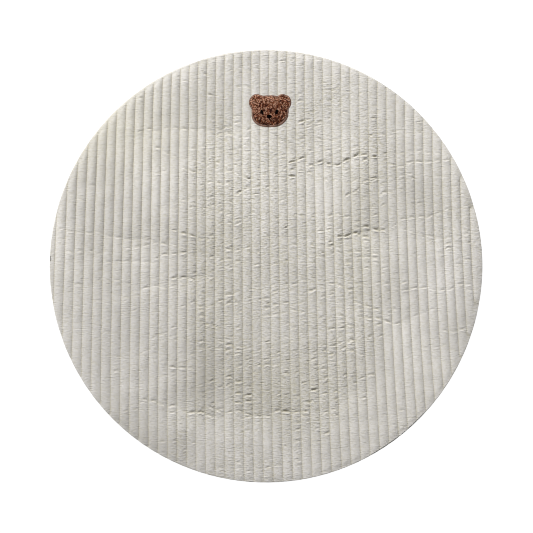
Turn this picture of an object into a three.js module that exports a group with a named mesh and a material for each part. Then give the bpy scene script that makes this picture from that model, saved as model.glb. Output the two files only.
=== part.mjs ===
// Round quilted baby play mat with a bear's-head patch sewn on near its edge.
// Millimetres, +Z up. The origin is the middle of the flat underside, and +Y points at the patch.
// The mat is one padded panel. Its sewing lines run along Y and fan out a little towards -Y.
import * as THREE from "three";

// The mat
const MAT_RADIUS = 600;
const STITCH_HEIGHT = 5.2; // the top cover on a sewing line
const RIB_RISE = 4; // the crown of a rib above its sewing lines
const SWELL = 0.5; // how much the filling's height varies over the mat
const SWELL_X = 83; // the variation's wave across the ribs, for each radian
const SWELL_Y = 107; // and along them

// The sewing lines, numbered from the one nearest the middle
const FIRST_LINE = -23;
const LAST_LINE = 22;
const LINE_PITCH = 25.5;
const LINE_SHIFT = 11.9; // line 0 lies this far to +X of the middle
const LINE_FAN = 0.046; // the pitch grows by this share from the middle to the -Y edge
const LINE_LEAN = 0.0103; // every line also leans to -X by this slope
const SIDE_SPREAD = 9.5; // the cloth eases outwards, and line 23 lies this much further out

// The turned edge: the cover curves down from the ribs to the underside, which is flat
const TOP_EDGE_RADIUS = MAT_RADIUS - 4.5;
const EDGE_SLOPE_WIDTH = 12; // the ribs come down to the top edge over this width
const EDGE_STITCH_SHARE = 0.9; // the share of its height that a sewing line keeps there
const EDGE_RIB_SHARE = 0.5; // the share of its rise that a rib keeps there
const EDGE_RINGS = [
  { radius: MAT_RADIUS - 1.3, share: 0.76 }, // shares of the height that the top edge has beside them
  { radius: MAT_RADIUS, share: 0.42 },
  { radius: MAT_RADIUS - 2, share: 0 },
];

// The patch: a rounded head with two round ears
const PATCH_X = 11.4;
const PATCH_Y = 430;
const HEAD = { halfWidth: 50, halfHeight: 42.6, roundness: 2.4 };
const EAR = { x: 35.8, y: 24, radius: 22 };
const PATCH_THICKNESS = 4;
const FACE_X = -2.5; // the eyes and the nose sit a little to the left of the head's middle
const EYE = { x: 20.4, y: 0, halfWidth: 4.8, halfHeight: 7.5, tilt: 8 };
const NOSE = { y: -13.6, halfWidth: 7.3, halfHeight: 5.2 };
const EMBROIDERY_THICKNESS = 1.2;

// The ribs are pressed down to this height under the patch, which lies just above them
const PRESSED_HEIGHT = 8.4;
const PRESS_MARGIN = 15; // past the patch's outline the ribs are still pressed this far
const PRESS_FADE = 34; // and rise again over this width
const SEAT_GAP = 0.3;

// How finely the surfaces are divided
const RIB_STEPS = [0, 0.2, 0.5, 0.8]; // columns across a rib, as shares of it
const SIDE_COLUMNS = 5; // columns across the part rib at each side
const ROW_PITCH = 75;
const PATCH_ROW_PITCH = 12;
const CLOSEST_ROWS = 5;
const OUTLINE_STEPS = 90;
const OVAL_STEPS = 28;

const PATCH_UNDERSIDE = PRESSED_HEIGHT + SEAT_GAP;
const PATCH_TOP = PATCH_UNDERSIDE + PATCH_THICKNESS;
const EMBROIDERY_UNDERSIDE = PATCH_TOP + SEAT_GAP;

const cover = new THREE.MeshStandardMaterial({ color: 0xddd8cc, roughness: 0.92, metalness: 0 });
const pile = new THREE.MeshStandardMaterial({ color: 0x7a4f3a, roughness: 0.97, metalness: 0 });
const thread = new THREE.MeshStandardMaterial({ color: 0x15110f, roughness: 0.6, metalness: 0 });

// A soft step from 0 to 1
function ease(share) {
  const t = Math.min(Math.max(share, 0), 1);
  return t * t * (3 - 2 * t);
}

// A sewing line is straight: x = start + slope * y. Line numbers between whole ones lie on a rib.
function sewingLine(line) {
  const start = LINE_SHIFT + LINE_PITCH * line + SIDE_SPREAD * (line / -FIRST_LINE) ** 3;
  const slope = -(LINE_FAN * LINE_PITCH * line) / MAT_RADIUS - LINE_LEAN;
  return { start, slope };
}

// The two places where a line crosses a circle about the middle, lowest y first, or none
function crossings(line, radius) {
  const { start, slope } = sewingLine(line);
  const a = 1 + slope * slope;
  const b = start * slope;
  const root = b * b - a * (start * start - radius * radius);
  if (root <= 0) return [];
  return [(-b - Math.sqrt(root)) / a, (-b + Math.sqrt(root)) / a];
}

// How far the head's outline lies from the head's middle in a direction, as an oval with fuller corners
function headReach(angle) {
  const across = Math.abs(Math.cos(angle) / HEAD.halfWidth) ** HEAD.roundness;
  const along = Math.abs(Math.sin(angle) / HEAD.halfHeight) ** HEAD.roundness;
  return (across + along) ** (-1 / HEAD.roundness);
}

// The same for an ear at one side, or 0 where the direction misses it
function earReach(angle, side) {
  const x = side * EAR.x;
  const along = x * Math.cos(angle) + EAR.y * Math.sin(angle);
  const off = x * Math.sin(angle) - EAR.y * Math.cos(angle);
  if (along < 0 || Math.abs(off) > EAR.radius) return 0;
  return along + Math.sqrt(EAR.radius ** 2 - off ** 2);
}

function patchReach(angle) {
  return Math.max(headReach(angle), earReach(angle, 1), earReach(angle, -1));
}

// How strongly the patch presses the ribs at a point, from 0 to 1
function pressAt(x, y) {
  const dx = x - PATCH_X;
  const dy = y - PATCH_Y;
  const past = Math.hypot(dx, dy) - patchReach(Math.atan2(dy, dx));
  return 1 - ease((past - PRESS_MARGIN) / PRESS_FADE);
}

// The height of the top cover on a line number at a point
function topHeight(line, x, y) {
  const share = line - Math.floor(line);
  const arch = 4 * share * (1 - share);
  const inward = ease((TOP_EDGE_RADIUS - Math.hypot(x, y)) / EDGE_SLOPE_WIDTH);
  const stitch = STITCH_HEIGHT * (EDGE_STITCH_SHARE + (1 - EDGE_STITCH_SHARE) * inward);
  const swell = SWELL * Math.sin(x / SWELL_X + 0.9) * Math.sin(y / SWELL_Y + 0.4);
  const rise = (RIB_RISE + swell) * (EDGE_RIB_SHARE + (1 - EDGE_RIB_SHARE) * inward);
  const free = stitch + rise * arch;
  const pressed = STITCH_HEIGHT + (PRESSED_HEIGHT - STITCH_HEIGHT) * arch;
  return free + (Math.min(free, pressed) - free) * pressAt(x, y);
}

// The rows of one column: its two ends, where the edge slope begins, and even rows between them
function rowsOf(line) {
  const ends = crossings(line, TOP_EDGE_RADIUS);
  const marks = [...ends, ...crossings(line, TOP_EDGE_RADIUS - EDGE_SLOPE_WIDTH)];
  const { start, slope } = sewingLine(line);
  const around = EAR.x + EAR.radius + PRESS_MARGIN + PRESS_FADE;
  const nearPatch = Math.abs(start + slope * PATCH_Y - PATCH_X) < around;
  const rows = [];
  for (let y = -MAT_RADIUS + ROW_PITCH; y < MAT_RADIUS; y += ROW_PITCH) rows.push(y);
  if (nearPatch) {
    for (let y = PATCH_Y - around; y < PATCH_Y + around; y += PATCH_ROW_PITCH) rows.push(y);
  }
  for (const y of rows.sort((p, q) => p - q)) {
    const inside = y > ends[0] && y < ends[1];
    if (inside && marks.every((mark) => Math.abs(mark - y) > CLOSEST_ROWS)) marks.push(y);
  }
  return marks.sort((p, q) => p - q);
}

// The line numbers of all columns from left to right. At each side the part rib's columns crowd
// together towards the rim, so that their ends are evenly spaced on it.
function columnLines() {
  const lines = [];
  for (let line = FIRST_LINE; line < LAST_LINE; line += 1) {
    for (const step of RIB_STEPS) lines.push(line + step);
  }
  lines.push(LAST_LINE);
  const side = (line, outward) => {
    const room = (TOP_EDGE_RADIUS - Math.abs(sewingLine(line).start)) / LINE_PITCH;
    for (let i = 1; i < SIDE_COLUMNS; i += 1) {
      lines.push(line + outward * room * (1 - (1 - i / SIDE_COLUMNS) ** 2));
    }
  };
  side(FIRST_LINE, -1);
  side(LAST_LINE, 1);
  return lines.sort((p, q) => p - q);
}

// A mesh from points and triangles
function solid(name, points, triangles, material) {
  const geometry = new THREE.BufferGeometry();
  geometry.setAttribute("position", new THREE.Float32BufferAttribute(points.flat(), 3));
  geometry.setIndex(triangles.flat());
  geometry.computeVertexNormals();
  const mesh = new THREE.Mesh(geometry, material);
  mesh.name = name;
  return mesh;
}

// Triangles between two closed rings of point numbers, the second one lying outwards or lower
function ringStrip(upper, lower) {
  return upper.flatMap((a, i) => {
    const next = (i + 1) % upper.length;
    return [
      [a, lower[i], lower[next]],
      [a, lower[next], upper[next]],
    ];
  });
}

// The quilted panel: columns of points along the sewing lines and the ribs, joined side by side,
// then the rings of the turned edge and the flat underside
function quiltedMat() {
  const points = [];
  const triangles = [];
  const add = (x, y, z) => points.push([x, y, z]) - 1;
  const columns = columnLines().map((line) => {
    const { start, slope } = sewingLine(line);
    return rowsOf(line).map((y) => add(start + slope * y, y, topHeight(line, start + slope * y, y)));
  });

  // The last column at each side is one point on the rim, between the ends of its neighbour
  const sidePoint = (column) => {
    const [low, high] = [column[0], column.at(-1)].map((p) => points[p]);
    const middle = new THREE.Vector2(low[0] + high[0], low[1] + high[1]).setLength(TOP_EDGE_RADIUS);
    return [add(middle.x, middle.y, (low[2] + high[2]) / 2)];
  };
  columns.unshift(sidePoint(columns[0]));
  columns.push(sidePoint(columns.at(-1)));

  for (let c = 1; c < columns.length; c += 1) {
    const left = columns[c - 1];
    const right = columns[c];
    let i = 0;
    let j = 0;
    while (i < left.length - 1 || j < right.length - 1) {
      const leftNext = i < left.length - 1 ? points[left[i + 1]][1] : Infinity;
      const rightNext = j < right.length - 1 ? points[right[j + 1]][1] : Infinity;
      if (leftNext < rightNext) {
        triangles.push([left[i], right[j], left[i + 1]]);
        i += 1;
      } else {
        triangles.push([left[i], right[j], right[j + 1]]);
        j += 1;
      }
    }
  }

  const inner = columns.slice(1, -1);
  const lowEnds = inner.map((column) => column[0]);
  const highEnds = inner.map((column) => column.at(-1)).reverse();
  let ring = [columns[0][0], ...lowEnds, columns.at(-1)[0], ...highEnds];
  const edgeHeights = ring.map((p) => points[p][2]);
  for (const { radius, share } of EDGE_RINGS) {
    const outer = ring.map((p, i) => {
      const [x, y] = points[p];
      const scale = radius / Math.hypot(x, y);
      return add(x * scale, y * scale, share * edgeHeights[i]);
    });
    triangles.push(...ringStrip(ring, outer));
    ring = outer;
  }
  const middle = add(0, 0, 0);
  ring.forEach((a, i) => triangles.push([middle, ring[(i + 1) % ring.length], a]));
  return solid("mat", points, triangles, cover);
}

// A flat-bottomed pad with a rounded top, built on its own middle. reach(angle) is its outline, and
// each section gives the share of the outline and the share of the thickness that it has there.
const PAD_SECTIONS = [
  { outline: 0.93, height: 0.9 },
  { outline: 1, height: 0.55 },
  { outline: 1, height: 0 },
];
const PAD_CROWN = 0.82; // inside this share of the outline the top is flat

function pad(name, reach, steps, thickness, material) {
  const points = [];
  const triangles = [];
  const ringAt = (outline, z) =>
    Array.from({ length: steps }, (_, i) => {
      const angle = (2 * Math.PI * i) / steps;
      const r = reach(angle) * outline;
      return points.push([r * Math.cos(angle), r * Math.sin(angle), z]) - 1;
    });
  let ring = ringAt(PAD_CROWN, thickness);
  const top = points.push([0, 0, thickness]) - 1;
  ring.forEach((a, i) => triangles.push([top, a, ring[(i + 1) % steps]]));
  for (const { outline, height } of PAD_SECTIONS) {
    const outer = ringAt(outline, height * thickness);
    triangles.push(...ringStrip(ring, outer));
    ring = outer;
  }
  const bottom = points.push([0, 0, 0]) - 1;
  ring.forEach((a, i) => triangles.push([bottom, ring[(i + 1) % steps], a]));
  return solid(name, points, triangles, material);
}

// The outline of an oval, as a distance from its middle
function ovalReach({ halfWidth, halfHeight }) {
  return (angle) => 1 / Math.hypot(Math.cos(angle) / halfWidth, Math.sin(angle) / halfHeight);
}

function bearPatch() {
  const patch = pad("bear_patch", patchReach, OUTLINE_STEPS, PATCH_THICKNESS, pile);
  patch.position.z = PATCH_UNDERSIDE;
  return patch;
}

function bearEye(name, side) {
  const eye = pad(name, ovalReach(EYE), OVAL_STEPS, EMBROIDERY_THICKNESS, thread);
  eye.position.set(FACE_X + side * EYE.x, EYE.y, EMBROIDERY_UNDERSIDE);
  eye.rotation.z = THREE.MathUtils.degToRad(-side * EYE.tilt);
  return eye;
}

function bearNose() {
  const nose = pad("bear_nose", ovalReach(NOSE), OVAL_STEPS, EMBROIDERY_THICKNESS, thread);
  nose.position.set(FACE_X, NOSE.y, EMBROIDERY_UNDERSIDE);
  return nose;
}

const bear = new THREE.Group();
bear.position.set(PATCH_X, PATCH_Y, 0);
bear.add(bearPatch(), bearEye("bear_eye_left", -1), bearEye("bear_eye_right", 1), bearNose());

const playMat = new THREE.Group();
playMat.add(quiltedMat(), bear);

export default playMat;
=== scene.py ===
# A round quilted baby play mat, 1.2 m across, with a small bear's-head patch sewn on near its edge.
# Metres in the CAD's frame: +Z is up, +Y points at the patch, and the mat's flat underside is at 0.
import math
from functools import partial

import bpy
import numpy as np
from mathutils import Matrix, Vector


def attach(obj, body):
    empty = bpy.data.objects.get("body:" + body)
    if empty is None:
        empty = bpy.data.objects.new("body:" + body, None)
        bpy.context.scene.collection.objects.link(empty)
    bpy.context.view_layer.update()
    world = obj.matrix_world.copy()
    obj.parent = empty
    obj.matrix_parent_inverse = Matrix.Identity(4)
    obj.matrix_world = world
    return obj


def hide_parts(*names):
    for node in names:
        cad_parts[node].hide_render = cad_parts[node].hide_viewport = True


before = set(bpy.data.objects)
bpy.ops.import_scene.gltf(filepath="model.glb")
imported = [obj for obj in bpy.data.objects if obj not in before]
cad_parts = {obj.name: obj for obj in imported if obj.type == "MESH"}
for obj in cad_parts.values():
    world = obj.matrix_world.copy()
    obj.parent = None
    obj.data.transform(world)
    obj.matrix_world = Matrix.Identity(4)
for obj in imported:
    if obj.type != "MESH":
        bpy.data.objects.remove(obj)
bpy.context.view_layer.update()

# The quilted mat. Two rounds of off-white cotton with wadding between them are sewn through along
# 46 lines by a many-needle machine, then bagged out, so that the rim is the cloth's own turned edge.
# The lines, the ribs' rise and the rim start from the CAD solid's sizes, in millimetres.
MM = 0.001
MAT_RADIUS = 600
STITCH_HEIGHT = 5.2
RIB_RISE = 4.0
SWELL = 0.5
SWELL_LENGTHS = (83, 107)
SWELL_PHASES = (0.9, 0.4)
FIRST_LINE = -23
LAST_LINE = 22
LINE_PITCH = 25.5
LINE_SHIFT = 11.9
LINE_FAN = 0.046
LINE_LEAN = 0.0103
SIDE_SPREAD = 9.5
TOP_EDGE_RADIUS = MAT_RADIUS - 4.5
SEWN_RADIUS = TOP_EDGE_RADIUS - 1.5
STITCH_PITCH = 6.0
EDGE_SLOPE_WIDTH = 12
EDGE_STITCH_SHARE = 0.9
EDGE_RIB_SHARE = 0.65
PATCH_X = 11.4
PATCH_Y = 430
HEAD_HALF_WIDTH = 50
HEAD_HALF_HEIGHT = 42.6
HEAD_ROUNDNESS = 2.4
EAR_X = 35.8
EAR_Y = 24
EAR_RADIUS = 22
PRESSED_HEIGHT = 8.4
PRESS_MARGIN = 15
PRESS_FADE = 34

# How finely the cover is divided, and its rows' places beside a trough and at the edge
RIB_STEPS = [0, 0.09, 0.27, 0.5, 0.73, 0.91]
SIDE_COLUMNS = 14
ROW_PITCH = 7
CLOSEST_ROWS = 0.8
TROUGH_ROWS = (-3.3, -2.5, -1.8, -1.3, -0.9, -0.5, -0.15, 0.3, 0.9, 1.7, 2.6, 3.5)
EDGE_ROWS = (2.5, 5, 8, 12)
UNDERSIDE_PITCH = 60
CHANNEL_DEPTH = 1.3
CHANNEL_SHARE = 0.07

# The unevenness of sewn cloth: how much, and the lengths in x and y over which it changes
LINE_WANDER = (0.5, 130)
LINE_UNEVENNESS = (0.7, 110)
RIB_UNEVENNESS = (0.7, 42)
CROWN_LEAN = (0.3, 90)
BROAD_DIP = (0.35, 150, 190)
LUMPS = (0.75, 55, 27)
RIB_FULLNESS = 2.4
FULLER_SPOTS = [
    (2.2, -400, 230, 240, 280),
    (0.4, 480, 100, 160, 400),
    (-1.0, 0, -480, 420, 260),
    (-1.15, 10, 60, 110, 400),
    (-2.3, 225, 430, 130, 110),
]

# A crease is a broad fold across its ribs and a sharp pinch in each. These are shares of its depth,
# half widths, how crisp the lip below is, and over what shares of its length it fades in and out.
FOLD_SHARE = 0.22
FOLD_WIDTH = 5.5
FOLD_CRISP = 0.1
FOLD_FADES = (0.2, 0.2)
PINCH_SHARE = 0.7
PINCH_WIDTH = (2.2, 3.0)
CRISPEST = 0.75
PINCH_FADES = (0.25, 0.25)
STEADY_DEPTH = 5

# A pucker is a short trough in one rib's right part, its left part or all across it: how likely each
# kind is, where it lies and how it fades. A wrinkle is a row of puckers over a few ribs.
PUCKER_KINDS = [
    (0.55, 0.46, 1, (0.6, 0.12)),
    (0.15, 0, 0.46, (0.12, 0.6)),
    (0.3, 0.08, 0.92, (0.3, 0.3)),
]
PUCKER_DEPTH = (0.4, 2.8)
PUCKER_WIDTH = (1.6, 3.6)
PUCKER_CRISP = 0.35
WRINKLES = 2600
WRINKLE_RIBS = 3.6
WRINKLE_SLOPE = 0.12

# A trough's section: how its sides widen, the lips above and below, and its depth on a sewing line.
# Then how much shade is painted in it, on the plain sides and at the rim, and where it ends at the patch.
UPPER_SIDE = 1.3
LOWER_SIDE = 0.8
UPPER_LIP = (0.3, 2.4)
LOWER_LIP = 1.6
LINE_SHARE = 0.35
TROUGH_SHADE = (0.9, 2.6)
PLAIN_SHADE = 0.3
RIM_SHADE = (0.8, 0.2)
FADE_AT_PATCH = (2, 8)

# Where the cloth is puckered most, and least
CREASED_MOST = 1.35
CREASED_LEAST = 0.12
CREASED_PATCHES = (0.4, 60, 95)
CREASED_MIDDLE = (35, -20)
CREASED_REACH = (330, 640)
CREASED_SPOTS = [
    (0.5, 520, 130, 90, 150),
    (0.45, 280, 300, 110, 130),
    (0.35, 120, 420, 60, 70),
    (-0.3, -60, -470, 120, 60),
    (-0.7, 420, -190, 110, 120),
    (-0.9, 165, 190, 60, 60),
    (-0.4, 30, -170, 160, 120),
]
# The cotton's tone, from 0 at its darkest, carries painted light and shade: creased cloth is darker,
# painted shade of its puckers; the turned rim paler, painted light on its shaded edge; and the spots
# are painted light and shade of the mat's broad folds and tilts: change, middle and reach.
PLAIN_TONE = 0.89
CREASED_PAINTED_SHADE = 0.21
PALEST = 1.36
RIM_PAINTED_LIGHT = (0.37, 3.5, 2.5)
LIGHT_AND_SHADE_SPOTS = [
    (0.28, 70, 290, 190, 150),
    (-0.3, -165, -290, 110, 150),
    (0.23, 520, 20, 90, 260),
    (0.16, 395, -190, 85, 110),
    (-0.3, 285, 165, 55, 100),
    (-0.18, -480, -20, 170, 400),
    (-0.62, -370, -480, 140, 100),
    (-0.3, -205, 435, 95, 70),
    (0.33, -120, 250, 100, 80),
    (0.2, -15, 120, 55, 100),
    (0.3, 163, 95, 50, 75),
    (0.2, 170, 235, 40, 40),
    (-0.38, 440, 185, 65, 70),
    (-0.32, 385, -90, 60, 80),
    (-0.32, 570, -150, 55, 130),
    (-0.45, -168, -310, 30, 95),
    (-0.18, -420, -190, 100, 170),
    (-0.26, -205, 75, 110, 60),
    (-0.18, -440, 210, 50, 80),
    (0.17, -110, -455, 110, 42),
    (-0.16, 30, -330, 80, 110),
    (-0.16, 300, -270, 45, 90),
    (0.3, 240, 310, 55, 50),
    (0.24, -260, -430, 70, 42),
    (0.22, 240, -170, 45, 100),
    (-0.2, -495, 95, 45, 60),
    (0.25, 312, 65, 60, 42),
    (0.2, 105, 35, 30, 45),
    (0.3, -575, 70, 35, 90),
    (-0.2, 520, -200, 60, 80),
    (-0.14, -200, -515, 90, 45),
    (-0.14, -432, -366, 50, 45),
    (0.16, -20, 345, 60, 50),
    (0.17, 75, 572, 60, 30),
    (-0.15, 10, -485, 60, 60),
    (-0.15, 575, 20, 28, 90),
]
# The cotton has yellowed a little, in places more or less
PLAIN_YELLOWED = 0.07
YELLOWED_SPOTS = [
    (0.35, -430, 380, 170, 130),
    (0.08, -150, 100, 60, 350),
    (0.12, 270, 60, 60, 200),
    (0.14, 60, -340, 200, 100),
    (-0.16, -100, -570, 230, 90),
    (-0.1, -420, -230, 190, 150),
    (-0.12, 540, -20, 90, 90),
    (-0.08, 0, 510, 120, 90),
]

# The rim's cross-section above its seam and below it: distance in from the widest circle, and share of
# the height beside it
RIM_RINGS = [(1.4, 0.97), (0.55, 0.87), (0.13, 0.72), (0, 0.56)]
RIM_RINGS += [(0.6, 0.48), (0, 0.39), (0.4, 0.17), (2, 0)]

# The creases that lie across several ribs: depth, then x and y of points from left to right
CREASES = [
    (1.4, -360, 369, -327, 380, -302, 375, -277, 380, -252, 383, -205, 377, -174, 377, -141, 372),
    (1.4, -308, 330, -288, 325, -271, 313, -244, 302),
    (1.8, -233, 272, -205, 261, -172, 264),
    (0.8, -327, 244, -302, 258, -277, 266),
    (0.7, -549, 197, -524, 191, -488, 175),
    (0.6, -260, 183, -233, 175, -185, 153),
    (1, -571, 103, -516, 94, -466, 94, -427, 80, -363, 75, -321, 78, -285, 75),
    (0.7, -363, 105, -321, 86),
    (3.2, -266, 100, -247, 97, -227, 92, -191, 80),
    (1.3, -391, 50, -335, 56, -302, 67, -274, 61, -249, 58, -216, 47),
    (2.2, -305, 22, -280, 33, -222, 39, -208, 33),
    (0.7, -471, 33, -432, 44),
    (0.8, -460, 8, -405, 11, -327, 14, -280, 0, -238, -3),
    (2.2, -116, 139, -88, 144),
    (2.2, -88, 117, -63, 125, -38, 144),
    (2.2, -113, 47, -83, 44, -61, 50, -27, 56),
    (1.5, -183, 75, -144, 78),
    (1.6, -116, 264, -91, 264, -69, 247, -38, 233),
    (1.6, -166, 230, -141, 233),
    (1.3, -210, 325, -163, 330),
    (1.8, -91, 413, -63, 416),
    (1.4, -83, 502, -44, 494),
    (1.6, -72, 355, -44, 361),
    (1.6, 11, 366, 31, 358, 53, 341, 78, 338),
    (3.9, 61, 286, 84, 291, 100, 300, 117, 302),
    (4.4, 117, 280, 134, 283, 153, 291, 178, 283, 200, 277, 219, 291, 239, 300, 256, 311, 283, 308,
     311, 305),
    (2, 111, 261, 128, 258, 150, 252),
    (1.8, 328, 286, 358, 280, 378, 277, 411, 291, 441, 289, 511, 294),
    (1.3, 361, 250, 394, 258, 411, 255),
    (1, 455, 244, 500, 255),
    (3.1, 217, 189, 256, 211, 272, 236, 305, 247),
    (1.6, 172, 139, 200, 147, 219, 133, 242, 139),
    (5, 195, 80, 219, 83, 247, 94, 267, 83, 294, 80),
    (4.6, 269, 108, 289, 108, 308, 100, 333, 100),
    (1.8, 219, 42, 253, 44, 278, 39, 322, 33),
    (1.8, 244, 25, 278, 28, 317, 19),
    (1.8, 350, 111, 378, 130, 416, 136, 450, 136, 511, 161),
    (1, 330, 305, 367, 316, 428, 319, 483, 316),
    (1.3, 122, 61, 164, 53, 206, 50),
    (3.1, 84, 455, 111, 460),
    (3.1, 84, 397, 120, 408),
    (1.8, 139, 350, 158, 352),
    (2, 117, 319, 139, 322),
    (1, 383, 100, 441, 86, 497, 78, 544, 83),
    (1.5, 158, 485, 192, 488),
    (1.6, 289, 408, 317, 408),
    (1.3, 339, 363, 364, 369),
    (1.2, 416, 172, 444, 172),
    (1.2, 500, 61, 533, 67),
    (1.1, 552, 17, 580, 14),
    (3.2, -266, -36, -244, -30, -216, -30, -194, -42),
    (1.3, -344, -61, -316, -53, -280, -58, -249, -55, -233, -39),
    (0.8, -474, -92, -432, -103, -391, -94, -344, -72),
    (0.6, -549, -116, -493, -108),
    (0.9, -374, -255, -327, -230, -294, -214),
    (1, -321, -205, -283, -186, -244, -161),
    (1.4, -238, -114, -205, -103, -177, -83),
    (2, -269, -277, -235, -280, -202, -283, -183, -297),
    (3.1, -116, -308, -91, -308),
    (1.6, -88, -319, -63, -313),
    (1.5, -344, -369, -316, -374, -288, -380, -271, -391, -249, -386),
    (3.4, -230, -405, -205, -408, -180, -402, -163, -411, -138, -424),
    (2, -174, -383, -144, -397, -116, -408, -75, -399, -55, -411, -33, -416, 23, -419),
    (2.2, -113, -78, -86, -78),
    (1.8, -161, -28, -138, -22),
    (1.3, -166, -111, -122, -105),
    (1.3, -191, -233, -147, -227),
    (1.3, -99, -227, -63, -225),
    (1.4, -296, -488, -269, -485),
    (3.1, 11, -408, 39, -399, 61, -408, 89, -402, 117, -405),
    (1.6, 156, -405, 200, -397),
    (2.2, 172, -47, 208, -53, 233, -69),
    (2, 233, -92, 256, -100, 272, -108, 317, -122),
    (2.2, 267, -136, 317, -144, 339, -158, 367, -161, 383, -150),
    (0.8, 383, -150, 428, -133, 483, -111),
    (1.5, 372, -67, 405, -61, 447, -58, 483, -67, 516, -64, 538, -50, 588, -47),
    (2, 156, -219, 183, -222, 208, -216, 228, -208, 250, -202),
    (1.6, 206, -230, 244, -236, 261, -244, 289, -250),
    (1.8, 150, -86, 172, -80, 197, -75),
    (1.2, 491, -175, 525, -180, 561, -169),
    (0.8, 422, -236, 461, -225, 505, -216),
    (1.8, 256, -313, 283, -302, 305, -300),
    (1, 330, -444, 361, -438, 394, -447),
    (1.4, -11, -139, 39, -133, 70, -122, 111, -130),
    (1.4, 305, -47, 344, -47, 372, -61),
    (1.5, -22, -277, 11, -272, 39, -266),
    (1.3, 355, -405, 383, -402),
]
# The broad folds from how the mat was packed: depth, how far each reaches up and down the mat, then
# x and y of points from left to right
FOLD_ENDS = 40
BROAD_FOLDS = [
    (2, 60, 25, -377, 369, -294, 377, -210, 377, -141, 369, -86, 375, -38, 388),
    (2.5, 25, 45, -5, 377, 53, 333, 100, 297, 128, 280, 178, 277, 219, 286, 256, 305, 283, 322),
    (1.5, 20, 12, -22, 78, 109, 78, 192, 78),
    (3.6, 18, 22, 200, 78, 239, 86, 278, 92, 317, 111),
    (2.5, 40, 35, -299, -374, -224, -394, -177, -411, -133, -419, -77, -402, -27, -419, 25, -405,
     150, -405, 219, -377, 250, -344),
    (1.5, 20, 35, 294, -144, 367, -164, 383, -153, 475, -116),
    (1.4, 12, 12, -432, -86, -321, -58, -238, -36, -141, -25),
    (1.5, 30, 30, 372, 72, 455, 75, 538, 80),
    (1.2, 12, 12, -460, 89, -391, 75, -280, 72),
    (1.2, 12, 12, -446, 11, -349, 14, -280, 3),
]


def ease(share):
    """A soft step from 0 to 1."""
    t = np.clip(share, 0, 1)
    return t * t * (3 - 2 * t)


def blend(low, high, share):
    """A value between two, at a share of the way from the first to the second."""
    return low + (high - low) * share


NOISE_TABLES = np.random.default_rng(3).uniform(-1, 1, (8, 128, 128))


def soft_noise(layer, u, v):
    """Smooth values from -1 to 1 that change over about one unit of u and of v. What a call adds to u
    and v only picks a part of the table."""
    table = NOISE_TABLES[layer]
    column = np.floor(u).astype(int)
    row = np.floor(v).astype(int)
    across = ease(u - column)
    along = ease(v - row)
    left, right = column % 128, (column + 1) % 128
    ends = []
    for at in (row % 128, (row + 1) % 128):
        ends.append(table[left, at] * (1 - across) + table[right, at] * across)
    return ends[0] * (1 - along) + ends[1] * along


def line_x(line, y):
    """Where a sewing line lies at y. Line numbers between whole ones lie on a rib."""
    start = LINE_SHIFT + LINE_PITCH * line + SIDE_SPREAD * (line / -FIRST_LINE) ** 3
    slope = -(LINE_FAN * LINE_PITCH * line) / MAT_RADIUS - LINE_LEAN
    return start + slope * y


def line_at(x, y):
    """The line number at a point."""
    numbers = np.linspace(FIRST_LINE - 1, LAST_LINE + 1, 400)
    return float(np.interp(x, line_x(numbers, y), numbers))


def crossings(line, radius):
    """The two places where a line crosses a circle about the middle, lowest y first, or none."""
    start = line_x(line, 0)
    slope = line_x(line, 1) - start
    a = 1 + slope * slope
    b = start * slope
    root = b * b - a * (start * start - radius * radius)
    if root <= 0:
        return []
    return [(-b - math.sqrt(root)) / a, (-b + math.sqrt(root)) / a]


def head_reach(angle):
    """How far the patch's outline lies from the head's middle: a full oval and two round ears."""
    across = np.abs(np.cos(angle) / HEAD_HALF_WIDTH) ** HEAD_ROUNDNESS
    along = np.abs(np.sin(angle) / HEAD_HALF_HEIGHT) ** HEAD_ROUNDNESS
    reach = (across + along) ** (-1 / HEAD_ROUNDNESS)
    for x in (EAR_X, -EAR_X):
        out = x * np.cos(angle) + EAR_Y * np.sin(angle)
        off = x * np.sin(angle) - EAR_Y * np.cos(angle)
        hit = (out > 0) & (np.abs(off) < EAR_RADIUS)
        ear = out + np.sqrt(np.maximum(EAR_RADIUS**2 - off**2, 0))
        reach = np.where(hit, np.maximum(reach, ear), reach)
    return reach


def past_patch(x, y):
    """How far a point lies outside the patch's outline."""
    dx = x - PATCH_X
    dy = y - PATCH_Y
    return np.hypot(dx, dy) - head_reach(np.arctan2(dy, dx))


def inward_share(x, y):
    """How far a point has risen up the slope at the rim, from 0 at its foot to 1."""
    return ease((TOP_EDGE_RADIUS - np.hypot(x, y)) / EDGE_SLOPE_WIDTH)


def spots_at(spots, x, y):
    """The sum of soft round spots at a point."""
    total = 0
    for change, middle_x, middle_y, wide, high in spots:
        total = total + change * np.exp(-(((x - middle_x) / wide) ** 2) - ((y - middle_y) / high) ** 2)
    return total


def creased_share(x, y):
    """How much the cloth is puckered at a point: most in the middle, least at the far left."""
    across = (x - CREASED_MIDDLE[0]) / CREASED_REACH[0]
    along = (y - CREASED_MIDDLE[1]) / CREASED_REACH[1]
    change, wide, high = CREASED_PATCHES
    share = CREASED_MOST - np.hypot(across, along) + change * soft_noise(0, x / wide + 20, y / high + 20)
    share = blend(CREASED_LEAST, 1, ease(share)) + spots_at(CREASED_SPOTS, x, y)
    return np.clip(share, 0.06, 1)


def fold_depth(x, y):
    """How deep the cover lies at a point because of the broad folds."""
    total = 0
    for depth, above, below, *places in BROAD_FOLDS:
        across, along = places[::2], places[1::2]
        off = y - np.interp(x, across, along)
        faded = ease((x - across[0]) / FOLD_ENDS) * ease((across[-1] - x) / FOLD_ENDS)
        total = total + depth * faded * np.exp(-np.abs(off) / np.where(off > 0, above, below))
    return total


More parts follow.
